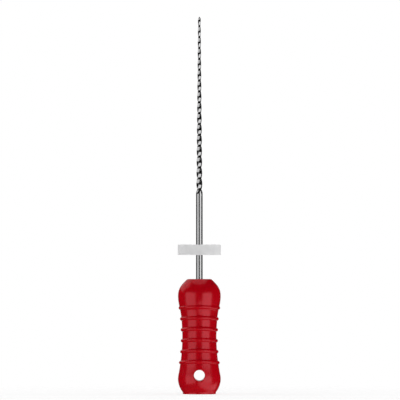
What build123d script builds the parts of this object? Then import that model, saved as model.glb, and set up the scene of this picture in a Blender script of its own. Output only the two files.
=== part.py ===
from build123d import *
import math
import os

# Endodontic hand file (K-type root canal file), size 25, 25 mm long, standing on its handle.
# Three pieces: the moulded handle, the one-piece steel wire, and the silicone depth stop.
# Millimetres. Origin: centre of the handle's flat foot. +Z runs up along the wire to its tip,
# and the cord hole through the lower bulb runs along Y.

# ---- Driving dimensions ----

# Heights above the foot
HANDLE_LENGTH = 10.96
EXPOSED_WIRE = 25.0
TIP_HEIGHT = HANDLE_LENGTH + EXPOSED_WIRE

# Handle: radius and height along its side, from the foot rim to the nose
FOOT_RIM = (1.565, 0.15)
LOWER_BULB = (2.03, 1.48)
WAIST = (1.617, 5.50)
UPPER_BULB = (2.025, 9.38)
NOSE_EDGE = (1.22, 10.88)
NOSE_FLAT_RADIUS = 1.08

# Handle: six finger rings
RING_COUNT = 6
FIRST_RING_HEIGHT = 2.99
RING_SPACING = 1.043
RING_SECTION_RADIUS = 0.19
RING_PROUD = 0.14
LAST_RING_PROUD = 0.10
RING_ROOT_FILLET = 0.06

# Handle: cord hole
CORD_HOLE_RADIUS = 0.52
CORD_HOLE_HEIGHT = 1.80

# Wire: round shank and the tang that the handle is moulded around
SHANK_RADIUS = 0.315
TANG_END_HEIGHT = 3.60
TANG_KEY_BOTTOM = 4.60
TANG_KEY_TOP = 6.60
TANG_KEY_WIDTH = 0.94
TANG_KEY_THICKNESS = 0.36

# Wire: working part, a square blank with a 2% taper, ground flat and twisted to the right.
# FACET_PITCH is the height in which the twist brings one flat round to the place of the next.
TIP_SIZE = 0.25
TAPER_PER_MM = 0.02
FACET_PITCH = 1.036
FLUTE_START_HEIGHT = 19.45
FLUTE_START_TURN = -7.0
RUNOUT_HEIGHT = 0.40
TIP_CONE_ANGLE = 75.0

# Depth stop
STOP_RADIUS = 2.05
STOP_THICKNESS = 0.98
STOP_BOTTOM_HEIGHT = 13.26
STOP_BORE_RADIUS = 0.335
STOP_EDGE_FILLET = 0.04

# ---- Worked out from them ----

LEAD = 4 * FACET_PITCH
TIP_CORNER_RADIUS = TIP_SIZE / 2
TIP_CONE_LENGTH = TIP_CORNER_RADIUS / math.tan(math.radians(TIP_CONE_ANGLE / 2))
FLUTE_LENGTH = TIP_HEIGHT - TIP_CONE_LENGTH - FLUTE_START_HEIGHT
FLUTE_CORNER_RADIUS = TIP_CORNER_RADIUS + TAPER_PER_MM / 2 * FLUTE_LENGTH


def side_of_handle():
    """The handle's side without its rings, as one smooth curve in (radius, height)."""
    return Spline(
        FOOT_RIM,
        (1.795, 0.52),
        (1.955, 0.93),
        LOWER_BULB,
        (1.945, 2.05),
        (1.862, 2.52),
        (1.735, 3.45),
        (1.645, 4.50),
        WAIST,
        (1.660, 6.60),
        (1.745, 7.55),
        (1.868, 8.20),
        (1.975, 8.75),
        UPPER_BULB,
        (1.883, 10.06),
        (1.605, 10.48),
        NOSE_EDGE,
    )


def radius_at(side, height):
    """The side's radius at a height: the curve climbs all the way, so halving finds it."""
    low, high = 0.0, 1.0
    while high - low > 1e-6:
        middle = (low + high) / 2
        if (side @ middle).Y < height:
            low = middle
        else:
            high = middle
    return (side @ low).X


def handle_half_section():
    """Half of the handle's section in (radius, height), with the rings and their root fillets."""
    side = side_of_handle()
    outline = [
        Line((0, 0), (FOOT_RIM[0], 0)),
        Line((FOOT_RIM[0], 0), FOOT_RIM),
        side,
        ThreePointArc(NOSE_EDGE, (1.165, 10.937), (NOSE_FLAT_RADIUS, HANDLE_LENGTH)),
        Line((NOSE_FLAT_RADIUS, HANDLE_LENGTH), (0, HANDLE_LENGTH)),
        Line((0, HANDLE_LENGTH), (0, 0)),
    ]
    section = make_face(outline)
    for i in range(RING_COUNT):
        height = FIRST_RING_HEIGHT + i * RING_SPACING
        proud = LAST_RING_PROUD if i == RING_COUNT - 1 else RING_PROUD
        centre = (radius_at(side, height) + proud - RING_SECTION_RADIUS, height)
        ring = Pos(*centre) * Circle(RING_SECTION_RADIUS)
        section += ring
        on_ring = [
            v for v in section.vertices()
            if abs(math.dist((v.X, v.Y), centre) - RING_SECTION_RADIUS) < 1e-4
        ]
        section = fillet(on_ring, RING_ROOT_FILLET)
    return section


def make_handle(file_wire):
    """The moulded handle: turned body, cord hole, and the cavity left by the wire's tang."""
    body = revolve(Plane.XZ * handle_half_section(), Axis.Z)
    hole = Pos(0, 0, CORD_HOLE_HEIGHT) * Rot(90, 0, 0) * Cylinder(CORD_HOLE_RADIUS, 3 * LOWER_BULB[0])
    return body - hole - file_wire


def rod(radius, bottom, top):
    """A round bar on the axis between two heights."""
    return Pos(0, 0, (bottom + top) / 2) * Cylinder(radius, top - bottom)


def square(width, turn, height):
    """A square face across the axis, turned about it."""
    return Pos(0, 0, height) * Rot(0, 0, turn) * Rectangle(width, width)


def make_runout():
    """Where the flutes begin: the flats run out into the tapered shoulder and twist as they go."""
    bottom = FLUTE_START_HEIGHT - RUNOUT_HEIGHT
    middle = FLUTE_START_HEIGHT - RUNOUT_HEIGHT / 2
    bottom_turn = FLUTE_START_TURN - 90 * RUNOUT_HEIGHT / FACET_PITCH
    wide = square(2.02 * SHANK_RADIUS, bottom_turn, bottom)
    narrow = square(math.sqrt(2) * FLUTE_CORNER_RADIUS, FLUTE_START_TURN, FLUTE_START_HEIGHT)
    shoulder = Pos(0, 0, middle) * Cone(SHANK_RADIUS, FLUTE_CORNER_RADIUS, RUNOUT_HEIGHT)
    return loft([wide, narrow], ruled=True) & shoulder


def make_tang_and_shank():
    """The round wire, with its pressed-flat key in the tang."""
    key_section = SlotOverall(TANG_KEY_WIDTH, TANG_KEY_THICKNESS)
    key = extrude(Pos(0, 0, TANG_KEY_BOTTOM) * key_section, TANG_KEY_TOP - TANG_KEY_BOTTOM)
    tang_stub = rod(SHANK_RADIUS, TANG_END_HEIGHT, TANG_KEY_BOTTOM)
    shank = rod(SHANK_RADIUS, TANG_KEY_TOP, FLUTE_START_HEIGHT - RUNOUT_HEIGHT)
    return tang_stub + key + shank


def make_flutes():
    """The tapered square blank, twisted: four ruled flats between four conical helices, and the tip."""
    narrowing = -math.degrees(math.atan(TAPER_PER_MM / 2))
    corner = Edge.make_helix(
        LEAD, FLUTE_LENGTH, FLUTE_CORNER_RADIUS, (0, 0, FLUTE_START_HEIGHT), angle=narrowing
    )
    corners = [corner.rotate(Axis.Z, FLUTE_START_TURN + 45 + 90 * i) for i in range(4)]
    starts = [c @ 0 for c in corners]
    ends = [c @ 1 for c in corners]
    tip = Vector(0, 0, TIP_HEIGHT)
    faces = [Face(Wire.make_polygon(starts, close=True))]
    for i in range(4):
        j = (i + 1) % 4
        faces.append(Face.make_surface_from_curves(corners[i], corners[j]))
        faces.append(Face(Wire.make_polygon([ends[i], ends[j], tip], close=True)))
    return Solid(Shell(faces))


def make_file_wire():
    """Tang, shank, run-out, flutes and tip are one piece of steel."""
    return make_tang_and_shank() + make_runout() + make_flutes()


def make_stop():
    """The depth stop: a plain disc that grips the wire through its bore."""
    disc = rod(STOP_RADIUS, STOP_BOTTOM_HEIGHT, STOP_BOTTOM_HEIGHT + STOP_THICKNESS)
    disc = fillet(disc.edges().filter_by(GeomType.CIRCLE), STOP_EDGE_FILLET)
    return disc - rod(STOP_BORE_RADIUS, STOP_BOTTOM_HEIGHT - 1, STOP_BOTTOM_HEIGHT + STOP_THICKNESS + 1)


os.makedirs("parts", exist_ok=True)

file_wire = make_file_wire()
pieces = {
    "handle": make_handle(file_wire),
    "file_wire": file_wire,
    "stop": make_stop(),
}
for node, solid in pieces.items():
    export_step(solid, f"parts/{node}.step")
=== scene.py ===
import math

import bpy
import numpy as np
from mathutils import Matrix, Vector


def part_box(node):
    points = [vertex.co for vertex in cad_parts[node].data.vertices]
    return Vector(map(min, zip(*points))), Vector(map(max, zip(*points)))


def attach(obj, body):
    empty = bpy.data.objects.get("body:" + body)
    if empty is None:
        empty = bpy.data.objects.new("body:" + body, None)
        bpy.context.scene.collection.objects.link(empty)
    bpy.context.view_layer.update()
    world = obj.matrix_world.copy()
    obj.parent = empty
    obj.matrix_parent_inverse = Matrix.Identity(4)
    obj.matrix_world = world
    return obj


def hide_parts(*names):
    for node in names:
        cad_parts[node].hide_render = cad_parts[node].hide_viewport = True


# Looks of the endodontic hand file: moulded red handle, one-piece steel wire, silicone stop.
# Lengths are written in millimetres, as in the CAD model, and turned into metres by MM.

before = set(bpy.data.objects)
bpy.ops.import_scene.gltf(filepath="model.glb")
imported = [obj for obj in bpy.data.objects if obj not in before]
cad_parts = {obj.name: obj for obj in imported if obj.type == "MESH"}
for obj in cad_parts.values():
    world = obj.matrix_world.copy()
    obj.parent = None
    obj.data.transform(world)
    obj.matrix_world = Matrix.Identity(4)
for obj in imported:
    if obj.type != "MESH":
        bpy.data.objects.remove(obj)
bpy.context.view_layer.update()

MM = 0.001

# ---- Sizes from the frame ----

FOOT_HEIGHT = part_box("handle")[0].z / MM
NOSE_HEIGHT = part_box("handle")[1].z / MM
TANG_END_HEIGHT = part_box("file_wire")[0].z / MM
TIP_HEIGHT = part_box("file_wire")[1].z / MM
STOP_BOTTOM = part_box("stop")[0].z / MM
STOP_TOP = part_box("stop")[1].z / MM
STOP_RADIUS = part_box("stop")[1].x / MM

# ---- Handle sizes ----

FOOT_RADIUS = 1.565
FOOT_EDGE_RADIUS = 0.035
FOOT_RIM_BLEND = 0.04
# The gate's dimple in the foot: (radius, height) from the rim inwards
FOOT_POINTS = [
    (1.30, 0),
    (0.95, 0),
    (0.62, 0),
    (0.58, 0.012),
    (0.55, 0.05),
    (0.50, 0.07),
    (0.25, 0.075),
]
# The side without its rings: (height, radius)
SIDE_POINTS = [
    (0.15, 1.565),
    (0.52, 1.795),
    (0.93, 1.955),
    (1.48, 2.030),
    (2.05, 1.945),
    (2.52, 1.862),
    (3.45, 1.735),
    (4.50, 1.645),
    (5.50, 1.617),
    (6.60, 1.660),
    (7.55, 1.745),
    (8.20, 1.868),
    (8.75, 1.975),
    (9.38, 2.025),
    (10.06, 1.883),
    (10.48, 1.605),
    (10.88, 1.220),
]
NOSE_EDGE_RADIUS = 0.273
# The nose flat and the wire's mouth: (radius, depth below the nose)
NOSE_POINTS = [
    (0.80, 0),
    (0.55, 0),
    (0.40, 0.002),
    (0.355, 0.015),
    (0.330, 0.05),
]
RING_COUNT = 6
FIRST_RING_HEIGHT = 2.99
RING_SPACING = 1.043
RING_SECTION_RADIUS = 0.19
RING_PROUD = 0.14
LAST_RING_PROUD = 0.10
RING_ROOT_BLEND = 0.05
# How far the rings arch up on the front and the back, and where that fades out
RING_ARCH = 0.125
ARCH_BOTTOM = 2.72
ARCH_BOTTOM_FADE = 0.08
ARCH_TOP = 9.20
ARCH_TOP_FADE = 0.75
HOLE_RADIUS = 0.52
HOLE_HEIGHT = 1.80
HOLE_RIM_RADIUS = 0.09
# The patch of the side that is rebuilt round each mouth of the hole
PATCH_BOTTOM = 0.93
PATCH_TOP = 2.70
PATCH_HALF_ANGLE = 26
COLUMN_COUNT = 192
PARTING_LINE_HEIGHT = 0.010
PARTING_LINE_WIDTH = 0.022
CAVITY_GAP = 0.003

# ---- Wire sizes ----

SHANK_RADIUS = 0.315
KEY_BOTTOM = 4.60
KEY_TOP = 6.60
KEY_HALF_WIDTH = 0.47
KEY_HALF_THICKNESS = 0.18
KEY_SHOULDER = 0.25
FACET_PITCH = 1.036
FLUTE_START = 19.45
FLUTE_START_TURN = -7.0
RUNOUT_LENGTH = 0.40
TIP_SIZE = 0.25
TAPER_PER_MM = 0.02
TIP_CONE_ANGLE = 75.0
TIP_END_RADIUS = 0.012
CUTTING_EDGE_HALF_ANGLE = 0.7

# ---- Stop sizes ----

STOP_BORE_RADIUS = 0.335
STOP_EDGE_RADIUS = 0.035

# ---- Stage: sizes in millimetres, and the strengths of its faint lights ----

VIEW_WIDTH = 38.12
VIEW_CENTRE = (0.062, 18.49)
SENSOR_WIDTH = 36
LENS = 800
LIGHT_DISTANCE = 400
SOFT_LIGHT = 0.02
ROOM_GLOW = 0.008
TABLE_GLOW = 0.06
FLOOR_SHOW = 0.25
FLOOR_RADII = (0.5, 1.5, 3, 5, 8, 12, 17, 24, 32, 42)


# ---- Mesh helpers ----


def mesh_object(name, points, faces, sharp_angle=None):
    """A smooth-shaded mesh piece from points in millimetres."""
    mesh = bpy.data.meshes.new(name)
    mesh.from_pydata([tuple(c * MM for c in p) for p in points], [], faces)
    mesh.validate()
    mesh.polygons.foreach_set("use_smooth", [True] * len(mesh.polygons))
    if sharp_angle is not None:
        mesh.set_sharp_from_angle(angle=math.radians(sharp_angle))
    piece = bpy.data.objects.new(name, mesh)
    bpy.context.scene.collection.objects.link(piece)
    return piece


class Skin:
    """Points and faces of one closed surface, grown ring by ring."""

    def __init__(self):
        self.points = []
        self.faces = []

    def add(self, point):
        self.points.append(point)
        return len(self.points) - 1

    def ring(self, points):
        return [self.add(p) for p in points]

    def bridge(self, low, high):
        """Quads between two closed rings, facing out when high is above low."""
        count = len(low)
        for i in range(count):
            j = (i + 1) % count
            self.faces.append((low[i], low[j], high[j], high[i]))

    def cap(self, ring, centre, up):
        """A fan that closes a ring."""
        middle = self.add(centre)
        count = len(ring)
        for i in range(count):
            j = (i + 1) % count
            self.faces.append((ring[i], ring[j], middle) if up else (ring[j], ring[i], middle))


def natural_spline(points):
    """A smooth function through (x, y) points: a natural cubic spline, straight beyond its ends."""
    x = np.array([p[0] for p in points])
    y = np.array([p[1] for p in points])
    step = np.diff(x)
    slope = np.diff(y) / step
    size = len(x)
    matrix = np.eye(size)
    right = np.zeros(size)
    for i in range(1, size - 1):
        matrix[i, i - 1 : i + 2] = step[i - 1], 2 * (step[i - 1] + step[i]), step[i]
        right[i] = 6 * (slope[i] - slope[i - 1])
    bend = np.linalg.solve(matrix, right)

    def value(at):
        i = int(np.clip(np.searchsorted(x, at) - 1, 0, size - 2))
        h = step[i]
        if at < x[0]:
            return y[0] + (at - x[0]) * (slope[0] - h * (2 * bend[0] + bend[1]) / 6)
        a = (x[i + 1] - at) / h
        b = (at - x[i]) / h
        cubic = ((a**3 - a) * bend[i] + (b**3 - b) * bend[i + 1]) * h * h / 6
        return a * y[i] + b * y[i + 1] + cubic

    return value


def soft_max(a, b, blend):
    """The larger of two values, with a rounded changeover."""
    return max(a, b) + max(blend - abs(a - b), 0.0) ** 2 / (4 * blend)


def smooth_step(x):
    """0 to 1 with flat ends."""
    x = min(max(x, 0.0), 1.0)
    return x * x * (3 - 2 * x)


def thinned(line, turn=6.0, length=0.10):
    """Keeps the points of a fine (radius, height) line where it turns or runs on, so curves stay round."""
    kept = [line[0]]
    heading = None
    for previous, point in zip(line, line[1:]):
        direction = math.degrees(math.atan2(point[1] - previous[1], point[0] - previous[0]))
        if heading is None:
            heading = direction
        turned = abs((direction - heading + 180) % 360 - 180)
        if turned > turn or math.dist(point, kept[-1]) > length:
            kept.append(previous)
            heading = direction
    kept.append(line[-1])
    return kept


# ---- Handle ----

body_radius = natural_spline(SIDE_POINTS)


def ring_bumps():
    """(height, centre radius) of each finger ring's round section."""
    bumps = []
    for i in range(RING_COUNT):
        height = FIRST_RING_HEIGHT + i * RING_SPACING
        proud = LAST_RING_PROUD if i == RING_COUNT - 1 else RING_PROUD
        bumps.append((height, body_radius(height) + proud - RING_SECTION_RADIUS))
    return bumps


RING_BUMPS = ring_bumps()


def side_radius(height):
    """The handle's outer radius: bulbs and waist, foot rim, and finger rings with rounded roots."""
    radius = body_radius(height)
    if height < 0.5:
        radius = soft_max(radius, FOOT_RADIUS, FOOT_RIM_BLEND)
    for ring_height, centre in RING_BUMPS:
        off = abs(height - ring_height)
        if off < RING_SECTION_RADIUS:
            bump = centre + math.sqrt(RING_SECTION_RADIUS**2 - off**2)
            radius = soft_max(radius, bump, RING_ROOT_BLEND)
    return radius


def ring_lift(azimuth, height):
    """How far the finger rings arch up on the front and the back, fading out towards both bulbs."""
    share = smooth_step((height - ARCH_BOTTOM) / ARCH_BOTTOM_FADE)
    share *= smooth_step((ARCH_TOP - height) / ARCH_TOP_FADE)
    return RING_ARCH * share * math.sin(azimuth) ** 2


def handle_side_line():
    """The side as (radius, height) points, from the foot's edge to the nose flat."""
    line = []
    for i in range(7):
        angle = math.radians(-90 + 15 * i)
        radius = FOOT_RADIUS - FOOT_EDGE_RADIUS + FOOT_EDGE_RADIUS * math.cos(angle)
        line.append((radius, FOOT_EDGE_RADIUS * (1 + math.sin(angle))))
    top, top_radius = SIDE_POINTS[-1]
    fine_step = 0.002
    fine = [(side_radius(h), h) for h in np.arange(FOOT_EDGE_RADIUS + fine_step, top, fine_step)]
    line += thinned(fine)
    centre_radius = top_radius - NOSE_EDGE_RADIUS * math.sin(math.radians(45))
    centre_height = NOSE_HEIGHT - NOSE_EDGE_RADIUS
    for i in range(1, 9):
        angle = math.radians(45 + 45 * i / 8)
        radius = centre_radius + NOSE_EDGE_RADIUS * math.cos(angle)
        line.append((radius, centre_height + NOSE_EDGE_RADIUS * math.sin(angle)))
    return line


def column_angles():
    """Azimuths of the handle's columns: even all round, with a tight group on each parting line."""
    angles = {round(360 * i / COLUMN_COUNT, 4) for i in range(COLUMN_COUNT)}
    for side in (0.0, 180.0):
        for off in (0.3, 0.6, 0.95, 1.4):
            angles |= {round((side + off) % 360, 4), round((side - off) % 360, 4)}
    return [math.radians(a) for a in sorted(angles)]


def parting_ridge(azimuth, radius):
    """The thin raised line that the two mould halves leave along the sides at -X and +X."""
    across = radius * abs(math.sin(azimuth))
    return PARTING_LINE_HEIGHT * math.exp(-((across / PARTING_LINE_WIDTH) ** 2))


def tang_radius(azimuth, height, gap=0.0):
    """The tang's radius: round, pressed flat to a key between its shoulders."""
    into = min(height - KEY_BOTTOM, KEY_TOP - height) / KEY_SHOULDER
    share = smooth_step(into)
    along = abs(math.cos(azimuth))
    across = abs(math.sin(azimuth))
    flat = KEY_HALF_THICKNESS / max(across, 1e-6)
    end = KEY_HALF_WIDTH - KEY_HALF_THICKNESS
    if flat * along > end:
        middle = end * along
        flat = middle + math.sqrt(max(middle**2 - end**2 + KEY_HALF_THICKNESS**2, 0))
    return SHANK_RADIUS + share * (flat - SHANK_RADIUS) + gap


def on_side(x, height, front):
    """The y of a point of the handle's side; front is -1 on the half towards -Y and +1 on the other."""
    return front * math.sqrt(max(side_radius(height) ** 2 - x * x, 0))


def hole_mouth(skin, loop, front):
    """Fills the opening inside a loop of side points with skin that rounds over into the cord hole.

    Returns the ring of points where the straight wall of the hole begins.
    """
    angles = []
    for index in loop:
        x, _, z = skin.points[index]
        angles.append(math.atan2(z - HOLE_HEIGHT, x))
    rim_angles = (0, 11, 22, 34, 46, 58, 70, 82, 90)
    steps = [HOLE_RIM_RADIUS * (1 - math.cos(math.radians(a))) for a in rim_angles]
    share_steps = [0.08, 0.17, 0.28, 0.40, 0.53, 0.67, 0.83]
    rings = []
    rim_points = []
    for angle in angles:
        reach = HOLE_RADIUS + HOLE_RIM_RADIUS
        rim_points.append((reach * math.cos(angle), HOLE_HEIGHT + reach * math.sin(angle)))
    for out in steps:
        ring = []
        drop = HOLE_RIM_RADIUS - math.sqrt(max(HOLE_RIM_RADIUS**2 - (HOLE_RIM_RADIUS - out) ** 2, 0))
        for angle in angles:
            x = (HOLE_RADIUS + out) * math.cos(angle)
            z = HOLE_HEIGHT + (HOLE_RADIUS + out) * math.sin(angle)
            ring.append((x, on_side(x, z, front) - front * drop, z))
        rings.append(skin.ring(ring))
    for share in share_steps:
        ring = []
        for (rim_x, rim_z), index in zip(rim_points, loop):
            x = rim_x + share * (skin.points[index][0] - rim_x)
            z = rim_z + share * (skin.points[index][2] - rim_z)
            ring.append((x, on_side(x, z, front), z))
        rings.append(skin.ring(ring))
    rings.append(loop)
    for inner, outward in zip(rings, rings[1:]):
        if front < 0:
            skin.bridge(outward, inner)
        else:
            skin.bridge(inner, outward)
    return rings[0]


def build_handle():
    """The whole moulding as one closed skin: side, cord hole, nose, and the cavity round the tang."""
    skin = Skin()
    columns = column_angles()
    line = handle_side_line()
    rows = []
    for radius, height in line:
        ring = []
        for azimuth in columns:
            lifted = height + ring_lift(azimuth, height)
            reach = radius + body_radius(lifted) - body_radius(height) + parting_ridge(azimuth, radius)
            ring.append((reach * math.cos(azimuth), reach * math.sin(azimuth), lifted))
        rows.append(skin.ring(ring))

    half_width = math.radians(PATCH_HALF_ANGLE)
    openings = []
    low_row = min(range(len(line)), key=lambda j: abs(line[j][1] - PATCH_BOTTOM))
    high_row = min(range(len(line)), key=lambda j: abs(line[j][1] - PATCH_TOP))
    for front, facing in ((-1, math.radians(270)), (1, math.radians(90))):
        inside = [i for i, a in enumerate(columns) if abs(a - facing) <= half_width]
        openings.append((front, inside[0], inside[-1]))
    for j in range(len(rows) - 1):
        for i in range(len(columns)):
            k = (i + 1) % len(columns)
            cut = any(first <= i < last and low_row <= j < high_row for _, first, last in openings)
            if not cut:
                skin.faces.append((rows[j][i], rows[j][k], rows[j + 1][k], rows[j + 1][i]))

    mouths = {}
    for front, first, last in openings:
        left, right, step = (first, last, 1) if front < 0 else (last, first, -1)
        loop = [rows[low_row][i] for i in range(left, right, step)]
        loop += [rows[j][right] for j in range(low_row, high_row)]
        loop += [rows[high_row][i] for i in range(right, left, -step)]
        loop += [rows[j][left] for j in range(high_row, low_row, -1)]
        mouths[front] = hole_mouth(skin, loop, front)
    tunnel(skin, mouths[-1], mouths[1])

    foot(skin, rows[0], columns)
    cavity(skin, rows[-1], columns)
    return mesh_object("handle_moulding", skin.points, skin.faces, sharp_angle=50)


def tunnel(skin, front_ring, back_ring):
    """The straight wall of the cord hole, from the front mouth to the back mouth."""
    count = 14
    previous = front_ring
    for step in range(1, count + 1):
        share = step / count
        if step == count:
            ring = back_ring
        else:
            ring = []
            for a, b in zip(front_ring, back_ring):
                start, end = skin.points[a], skin.points[b]
                ring.append(skin.add(tuple(p + share * (q - p) for p, q in zip(start, end))))
        skin.bridge(previous, ring)
        previous = ring


def foot(skin, edge, columns):
    """The flat foot, with the small round dimple that the gate leaves in its middle."""
    previous = edge
    for radius, height in FOOT_POINTS:
        ring = skin.ring([(radius * math.cos(a), radius * math.sin(a), height) for a in columns])
        skin.bridge(ring, previous)
        previous = ring
    skin.cap(previous, (0, 0, FOOT_POINTS[-1][1]), up=False)


def cavity(skin, edge, columns):
    """The nose flat, the wire's mouth and the cavity that the tang fills."""
    previous = edge
    for radius, drop in NOSE_POINTS:
        height = NOSE_HEIGHT - drop
        ring = skin.ring([(radius * math.cos(a), radius * math.sin(a), height) for a in columns])
        skin.bridge(previous, ring)
        previous = ring
    bottom = TANG_END_HEIGHT - CAVITY_GAP
    heights = [NOSE_HEIGHT - 0.4, 9.0, 7.6, KEY_TOP]
    heights += [KEY_TOP - KEY_SHOULDER * i / 5 for i in range(1, 6)]
    heights += [5.6, KEY_BOTTOM + KEY_SHOULDER]
    heights += [KEY_BOTTOM + KEY_SHOULDER * i / 5 for i in range(4, -1, -1)]
    heights += [4.1, bottom]
    for height in heights:
        ring = []
        for azimuth in columns:
            radius = tang_radius(azimuth, height, CAVITY_GAP)
            ring.append((radius * math.cos(azimuth), radius * math.sin(azimuth), height))
        ring = skin.ring(ring)
        skin.bridge(previous, ring)
        previous = ring
    skin.cap(previous, (0, 0, bottom), up=True)


# ---- Wire ----

FLAT_STEPS = 10
EDGE_STEPS = 4
TIP_CONE_LENGTH = TIP_SIZE / 2 / math.tan(math.radians(TIP_CONE_ANGLE / 2))
TIP_BASE = TIP_HEIGHT - TIP_CONE_LENGTH
RUNOUT_BOTTOM = FLUTE_START - RUNOUT_LENGTH


def flute_corner_radius(height):
    """Half the working part's size across its cutting edges."""
    return TIP_SIZE / 2 + TAPER_PER_MM / 2 * (TIP_BASE - height)


def wire_section(height):
    """(outer radius, half angle of a flat, turn) of the wire above the tang."""
    even = 22.5
    least = 1.5
    edge = 45 - CUTTING_EDGE_HALF_ANGLE
    turn = FLUTE_START_TURN + 90 * (max(height, RUNOUT_BOTTOM) - FLUTE_START) / FACET_PITCH
    if height <= RUNOUT_BOTTOM:
        opening = smooth_step((RUNOUT_BOTTOM - height) / RUNOUT_LENGTH)
        return SHANK_RADIUS, least + (even - least) * opening, turn
    if height <= FLUTE_START:
        share = (FLUTE_START - height) / RUNOUT_LENGTH
        corner = flute_corner_radius(FLUTE_START)
        flat = corner * math.cos(math.radians(45))
        flat += (SHANK_RADIUS - flat) * share**1.4
        outer = min(corner + share * (SHANK_RADIUS - corner), flat / math.cos(math.radians(edge)))
    elif height <= TIP_BASE:
        return flute_corner_radius(height), edge, turn
    else:
        flat = flute_corner_radius(TIP_BASE) * math.cos(math.radians(45))
        outer = max((TIP_HEIGHT - height) * math.tan(math.radians(TIP_CONE_ANGLE / 2)), TIP_END_RADIUS)
    half = math.degrees(math.acos(min(flat / outer, math.cos(math.radians(least)))))
    return outer, min(half, edge), turn


def wire_ring(height):
    """One ring of the wire: four flats and the four round or sharp edges between them."""
    outer, half, turn = wire_section(height)
    flat = outer * math.cos(math.radians(half))
    round_bar = height <= RUNOUT_BOTTOM
    ring = []
    for side in range(4):
        facing = turn + 90 * side
        for step in range(FLAT_STEPS):
            reach = math.tan(math.radians(half)) * (2 * step / FLAT_STEPS - 1)
            off = math.degrees(math.atan(reach))
            radius = outer if round_bar else flat / math.cos(math.radians(off))
            ring.append((radius, facing + off))
        for step in range(EDGE_STEPS):
            off = half + (90 - 2 * half) * step / EDGE_STEPS
            ring.append((outer, facing + off))
    return [(r * math.cos(math.radians(a)), r * math.sin(math.radians(a)), height) for r, a in ring]


def tang_ring(height):
    """One ring of the hidden tang, with as many points as a ring of the wire."""
    ring = []
    for x, y, _ in wire_ring(RUNOUT_BOTTOM - 1):
        azimuth = math.atan2(y, x)
        radius = tang_radius(azimuth, height)
        ring.append((radius * math.cos(azimuth), radius * math.sin(azimuth), height))
    return ring


def wire_heights():
    """Heights of the wire's rings above the tang: few on the shank, many on run-out, flutes and tip."""
    shank = list(np.arange(NOSE_HEIGHT - 1, RUNOUT_BOTTOM - 0.45, 0.25))
    opening = list(np.linspace(RUNOUT_BOTTOM - 0.42, RUNOUT_BOTTOM, 8))
    runout = list(np.linspace(RUNOUT_BOTTOM, FLUTE_START, 16))[1:]
    rows = round((TIP_BASE - FLUTE_START) / FACET_PITCH * 24)
    flutes = list(np.linspace(FLUTE_START, TIP_BASE, rows + 1))[1:]
    tip = list(np.linspace(TIP_BASE, TIP_HEIGHT - TIP_END_RADIUS, 12))[1:]
    return shank + opening + runout + flutes + tip


def build_wire():
    """Tang, shank, flutes and tip as one closed skin."""
    skin = Skin()
    tang_heights = [TANG_END_HEIGHT, TANG_END_HEIGHT + 0.5, KEY_BOTTOM]
    tang_heights += [KEY_BOTTOM + KEY_SHOULDER * i / 5 for i in range(1, 6)]
    tang_heights += [5.6, KEY_TOP - KEY_SHOULDER]
    tang_heights += [KEY_TOP - KEY_SHOULDER * i / 5 for i in range(4, -1, -1)]
    tang_heights += [7.6, 9.0]
    first = skin.ring(tang_ring(tang_heights[0]))
    skin.cap(first, (0, 0, TANG_END_HEIGHT), up=False)
    previous = first
    for height in tang_heights[1:]:
        ring = skin.ring(tang_ring(height))
        skin.bridge(previous, ring)
        previous = ring
    for height in wire_heights():
        ring = skin.ring(wire_ring(height))
        skin.bridge(previous, ring)
        previous = ring
    skin.cap(previous, (0, 0, TIP_HEIGHT), up=True)
    piece = mesh_object("steel_wire", skin.points, skin.faces, sharp_angle=22)
    ground = piece.data.attributes.new("ground", "FLOAT", "POINT")
    ground.data.foreach_set("value", [smooth_step((p[2] - RUNOUT_BOTTOM) / 0.1) for p in skin.points])
    return piece


# ---- Stop ----


def build_stop():
    """A plain disc with just-broken edges, and a shallow dish where the wire stretches its hole."""
    skin = Skin()
    edge = STOP_EDGE_RADIUS
    profile = []
    for height, side in ((STOP_BOTTOM, 1), (STOP_TOP, -1)):
        half = [
            (STOP_BORE_RADIUS, height + side * 0.10),
            (STOP_BORE_RADIUS + 0.004, height + side * 0.055),
            (STOP_BORE_RADIUS + 0.020, height + side * 0.030),
            (STOP_BORE_RADIUS + 0.060, height + side * 0.018),
            (STOP_BORE_RADIUS + 0.140, height + side * 0.010),
            (STOP_BORE_RADIUS + 0.260, height + side * 0.003),
            (STOP_BORE_RADIUS + 0.400, height),
            (1.10, height),
            (1.50, height),
            (1.85, height),
        ]
        for i in range(7):
            angle = math.radians(90 - 15 * i)
            reach = STOP_RADIUS - edge + edge * math.cos(angle)
            half.append((reach, height + side * edge * (1 - math.sin(angle))))
        profile += half if side > 0 else half[::-1]
    side_rows = [(STOP_RADIUS, STOP_BOTTOM + (STOP_TOP - STOP_BOTTOM) * i / 6) for i in range(1, 6)]
    middle = len(profile) // 2
    profile = profile[:middle] + side_rows + profile[middle:]
    profile += [(STOP_BORE_RADIUS, STOP_BOTTOM + (STOP_TOP - STOP_BOTTOM) * i / 4) for i in (3, 2, 1)]
    count = 160
    rings = []
    for radius, height in profile:
        angles = [2 * math.pi * i / count for i in range(count)]
        rings.append(skin.ring([(radius * math.cos(a), radius * math.sin(a), height) for a in angles]))
    for low, high in zip(rings, rings[1:] + rings[:1]):
        skin.bridge(low, high)
    return mesh_object("silicone_stop", skin.points, skin.faces, sharp_angle=50)


# ---- Materials ----

RANGE_SOCKETS = ("From Min", "From Max", "To Min", "To Max")


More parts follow.
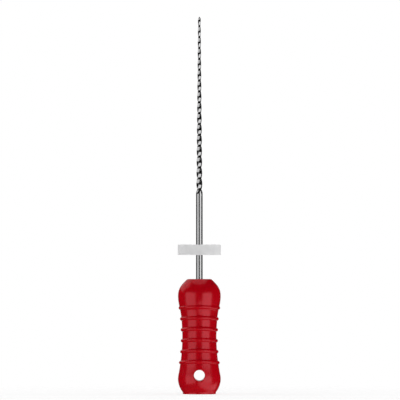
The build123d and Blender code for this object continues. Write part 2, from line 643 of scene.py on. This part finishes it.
class Shader:
    """A node material with one Principled shader, and short ways to add nodes to it."""

    def __init__(self, name):
        self.material = bpy.data.materials.new(name)
        self.material.use_nodes = True
        self.nodes = self.material.node_tree.nodes
        self.links = self.material.node_tree.links
        self.surface = self.nodes["Principled BSDF"]

    def add(self, kind, **values):
        """A node; values are inputs by name, as a number, a colour or another node's output."""
        node = self.nodes.new(kind)
        for key, value in values.items():
            self.put(node, key.replace("_", " "), value)
        return node

    def put(self, node, socket, value):
        if isinstance(value, bpy.types.NodeSocket):
            self.links.new(value, node.inputs[socket])
        else:
            node.inputs[socket].default_value = value

    def set(self, **values):
        for key, value in values.items():
            self.put(self.surface, key.replace("_", " "), value)

    def place(self, scale):
        """Object coordinates, stretched along each axis; scale is in cells per millimetre."""
        place = self.nodes.new("ShaderNodeMapping")
        source = self.nodes.new("ShaderNodeTexCoord")
        self.links.new(source.outputs["Object"], place.inputs["Vector"])
        place.inputs["Scale"].default_value = [s / MM for s in scale]
        return place.outputs["Vector"]

    def noise(self, scale, detail=2.0, roughness=0.5, distortion=0.0):
        """Noise from 0 to 1 with its own cells per millimetre along x, y and z."""
        node = self.add("ShaderNodeTexNoise", Vector=self.place(scale), Scale=1.0, Detail=detail)
        node.inputs["Roughness"].default_value = roughness
        node.inputs["Distortion"].default_value = distortion
        return node.outputs["Fac"]

    def range(self, value, low, high, new_low, new_high):
        """A value mapped from one range to another and held inside it."""
        node = self.nodes.new("ShaderNodeMapRange")
        self.links.new(value, node.inputs["Value"])
        for socket, number in zip(RANGE_SOCKETS, (low, high, new_low, new_high)):
            node.inputs[socket].default_value = number
        return node.outputs["Result"]

    def mix(self, share, a, b):
        """Two colours mixed by a share."""
        node = self.nodes.new("ShaderNodeMix")
        node.data_type = "RGBA"
        self.links.new(share, node.inputs[0])
        for index, colour in ((6, a), (7, b)):
            if isinstance(colour, bpy.types.NodeSocket):
                self.links.new(colour, node.inputs[index])
            else:
                node.inputs[index].default_value = (*colour, 1)
        return node.outputs[2]

    def math(self, operation, a, b):
        node = self.nodes.new("ShaderNodeMath")
        node.operation = operation
        for index, value in enumerate((a, b)):
            if isinstance(value, bpy.types.NodeSocket):
                self.links.new(value, node.inputs[index])
            else:
                node.inputs[index].default_value = value
        return node.outputs[0]

    def attribute(self, name):
        node = self.nodes.new("ShaderNodeAttribute")
        node.attribute_name = name
        return node.outputs["Fac"]

    def bump(self, height, distance, below=None):
        """A bump whose height of 1 stands for a distance in millimetres."""
        node = self.add("ShaderNodeBump", Height=height, Distance=distance * MM)
        if below is not None:
            self.links.new(below, node.inputs["Normal"])
        return node.outputs["Normal"]


def handle_plastic():
    """Semi-gloss moulded red plastic: slight clouding in the colour and fine grain."""
    shader = Shader("handle_plastic")
    cloud = shader.range(shader.noise((0.9, 0.9, 0.6), detail=3), 0.3, 0.7, 0, 1)
    speck = shader.range(shader.noise((14, 14, 14), detail=2), 0.35, 0.75, 0, 1)
    colour = shader.mix(cloud, (0.440, 0.0003, 0.0050), (0.500, 0.0005, 0.0070))
    colour = shader.mix(shader.math("MULTIPLY", speck, 0.35), colour, (0.400, 0.0003, 0.0045))
    rough = shader.range(shader.noise((5, 5, 5), detail=3), 0.3, 0.7, 0.19, 0.25)
    peel = shader.bump(shader.noise((3.2, 3.2, 2.4), detail=1), 0.004)
    grain = shader.bump(shader.noise((26, 26, 26), detail=2), 0.0002, peel)
    # The index is above plain plastic's, so that the tinted reflections are as strong as the handle's.
    shader.set(Base_Color=colour, Roughness=rough, Normal=grain, IOR=2.10)
    shader.set(Specular_Tint=(1.0, 0.31, 0.36, 1))
    shader.set(Subsurface_Weight=0.12, Subsurface_Radius=(1.0, 0.08, 0.05), Subsurface_Scale=0.35 * MM)
    return shader.material


def wire_steel():
    """Bright stainless steel: fine drawing lines along the shank, grinding lines across the flats."""
    shader = Shader("wire_steel")
    ground = shader.attribute("ground")
    drawn = shader.noise((60, 60, 1.2), detail=2)
    crosswise = shader.noise((9, 9, 48), detail=2)
    lines = shader.nodes.new("ShaderNodeMix")
    shader.links.new(ground, lines.inputs[0])
    shader.links.new(drawn, lines.inputs[2])
    shader.links.new(crosswise, lines.inputs[3])
    height = lines.outputs[0]
    shade = shader.range(height, 0.3, 0.7, 0, 1)
    colour = shader.mix(shade, (0.62, 0.62, 0.63), (0.71, 0.71, 0.71))
    smear = shader.range(shader.noise((6, 6, 2.5), detail=3), 0.3, 0.7, 0.10, 0.17)
    normal = shader.bump(height, 0.0004)
    shader.set(Base_Color=colour, Metallic=1.0, Roughness=smear, Normal=normal)
    return shader.material


def stop_silicone():
    """Pale grey translucent silicone, satin, with a faint mottle and moulded grain."""
    shader = Shader("stop_silicone")
    mottle = shader.range(shader.noise((2.2, 2.2, 2.2), detail=4), 0.3, 0.7, 0, 1)
    colour = shader.mix(mottle, (0.70, 0.70, 0.705), (0.76, 0.76, 0.765))
    rough = shader.range(shader.noise((7, 7, 7), detail=2), 0.3, 0.7, 0.42, 0.55)
    grain = shader.bump(shader.noise((22, 22, 22), detail=3), 0.0012)
    shader.set(Base_Color=colour, Roughness=rough, Normal=grain, IOR=1.41)
    shader.set(Subsurface_Weight=0.35, Subsurface_Radius=(1.0, 1.0, 1.0), Subsurface_Scale=0.5 * MM)
    return shader.material


# ---- Stage ----


def softbox(name, azimuth, elevation, radiance, seen_in_gloss=True):
    """A soft rectangular light that spans two azimuths and two elevations, seen from the object's middle.

    Azimuth 0 is straight towards the camera and 90 towards +X. A box that isn't seen in gloss is left out
    of reflections.
    """
    a = math.radians(sum(azimuth) / 2)
    e = math.radians(sum(elevation) / 2)
    light = bpy.data.lights.new(name, "AREA")
    light.shape = "RECTANGLE"
    light.size = 2 * LIGHT_DISTANCE * MM * math.tan(math.radians(azimuth[1] - azimuth[0]) / 2)
    light.size_y = 2 * LIGHT_DISTANCE * MM * math.tan(math.radians(elevation[1] - elevation[0]) / 2)
    light.energy = radiance * math.pi * light.size * light.size_y
    box = bpy.data.objects.new(name, light)
    bpy.context.scene.collection.objects.link(box)
    away = Vector((math.sin(a) * math.cos(e), -math.cos(a) * math.cos(e), math.sin(e)))
    box.location = (Vector((0, 0, TIP_HEIGHT / 2)) + away * LIGHT_DISTANCE) * MM
    box.rotation_mode = "QUATERNION"
    box.rotation_quaternion = away.to_track_quat("Z", "Y")
    box.visible_camera = False
    box.visible_glossy = seen_in_gloss
    light.cycles.use_multiple_importance_sampling = seen_in_gloss


def build_lights():
    """Soft boxes all round: six that are seen in reflections, then six fills that are left out of them."""
    softbox("left_softbox", (-80, -22), (-28, 17), 0.78)
    softbox("right_softbox", (18, 71), (-26, 15), 0.98)
    softbox("back_left_softbox", (-160, -102), (14, 58), 0.42)
    softbox("back_softbox", (166, 194), (-28, 14), 0.80)
    softbox("top_softbox", (-16, 16), (94, 126), 1.20)
    softbox("table_bounce", (4, 115), (-56, -28), 0.70)
    softbox("front_fill", (-45, 45), (-30, 65), 0.20, seen_in_gloss=False)
    softbox("right_fill", (45, 135), (-30, 65), 0.92, seen_in_gloss=False)
    softbox("back_fill", (135, 225), (-30, 65), 0.45, seen_in_gloss=False)
    softbox("left_fill", (-135, -45), (-30, 65), 0.92, seen_in_gloss=False)
    softbox("table_fill", (-50, 50), (-85, -45), 1.20, seen_in_gloss=False)
    softbox("top_fill", (-35, 35), (58, 118), 0.60, seen_in_gloss=False)


def build_world():
    """White behind the object, faint light all round, and in reflections a dim room over a paler table."""
    world = bpy.data.worlds.new("studio")
    bpy.context.scene.world = world
    world.use_nodes = True
    world.cycles.sampling_method = "NONE"
    nodes, links = world.node_tree.nodes, world.node_tree.links
    nodes.clear()
    path = nodes.new("ShaderNodeLightPath")
    place = nodes.new("ShaderNodeTexCoord")
    split = nodes.new("ShaderNodeSeparateXYZ")
    links.new(place.outputs["Generated"], split.inputs[0])
    table = nodes.new("ShaderNodeMapRange")
    table.interpolation_type = "SMOOTHSTEP"
    links.new(split.outputs["Z"], table.inputs["Value"])
    for socket, value in zip(RANGE_SOCKETS, (-0.65, -0.40, TABLE_GLOW, ROOM_GLOW)):
        table.inputs[socket].default_value = value
    backgrounds = {}
    for name in ("camera", "soft", "room"):
        backgrounds[name] = nodes.new("ShaderNodeBackground")
        backgrounds[name].inputs["Color"].default_value = (1, 1, 1, 1)
    backgrounds["soft"].inputs["Strength"].default_value = SOFT_LIGHT
    links.new(table.outputs["Result"], backgrounds["room"].inputs["Strength"])
    inner = nodes.new("ShaderNodeMixShader")
    outer = nodes.new("ShaderNodeMixShader")
    out = nodes.new("ShaderNodeOutputWorld")
    links.new(path.outputs["Is Glossy Ray"], inner.inputs["Fac"])
    links.new(backgrounds["soft"].outputs[0], inner.inputs[1])
    links.new(backgrounds["room"].outputs[0], inner.inputs[2])
    links.new(path.outputs["Is Camera Ray"], outer.inputs["Fac"])
    links.new(inner.outputs[0], outer.inputs[1])
    links.new(backgrounds["camera"].outputs[0], outer.inputs[2])
    links.new(outer.outputs[0], out.inputs["Surface"])


def build_floor():
    """A plain pale floor that fades into the white round it."""
    skin = Skin()
    count = 96
    rings = []
    for radius in FLOOR_RADII:
        angles = [2 * math.pi * i / count for i in range(count)]
        rings.append(skin.ring([(radius * math.cos(a), radius * math.sin(a), FOOT_HEIGHT) for a in angles]))
    skin.cap(rings[0], (0, 0, FOOT_HEIGHT), up=True)
    for inner, outer in zip(rings, rings[1:]):
        skin.bridge(inner, outer)
    floor = mesh_object("floor", skin.points, skin.faces)
    shader = Shader("pale_floor")
    shader.set(Base_Color=(0.92, 0.92, 0.92, 1), Roughness=0.8)
    shader.put(shader.surface, "Specular IOR Level", 0.1)
    away = shader.nodes.new("ShaderNodeVectorMath")
    away.operation = "LENGTH"
    shader.links.new(shader.place((1, 1, 0)), away.inputs[0])
    fade = shader.range(away.outputs["Value"], 2, 40, FLOOR_SHOW, 0)
    shader.put(shader.surface, "Alpha", fade)
    floor.data.materials.append(shader.material)
    floor.visible_glossy = False
    floor.visible_shadow = False


def build_camera():
    """A level view along +Y from far away with a long lens, as wide as the photograph."""
    data = bpy.data.cameras.new("view")
    data.sensor_width = SENSOR_WIDTH
    data.lens = LENS
    distance = VIEW_WIDTH / data.sensor_width * data.lens
    camera = bpy.data.objects.new("view", data)
    bpy.context.scene.collection.objects.link(camera)
    camera.location = (VIEW_CENTRE[0] * MM, -distance * MM, VIEW_CENTRE[1] * MM)
    camera.rotation_euler = (math.radians(90), 0, 0)
    data.clip_start = 0.01
    data.clip_end = 5
    bpy.context.scene.camera = camera


bpy.context.scene.view_settings.view_transform = "Standard"

build_camera()
build_world()
build_floor()
build_lights()

for build, node, body, slot, material in (
    (build_handle, "handle", "file", "handle_plastic", handle_plastic),
    (build_wire, "file_wire", "file", "wire_steel", wire_steel),
    (build_stop, "stop", "stop", "stop_silicone", stop_silicone),
):
    piece = build()
    piece.data.materials.append(material())
    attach(piece, body)
    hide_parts(node)
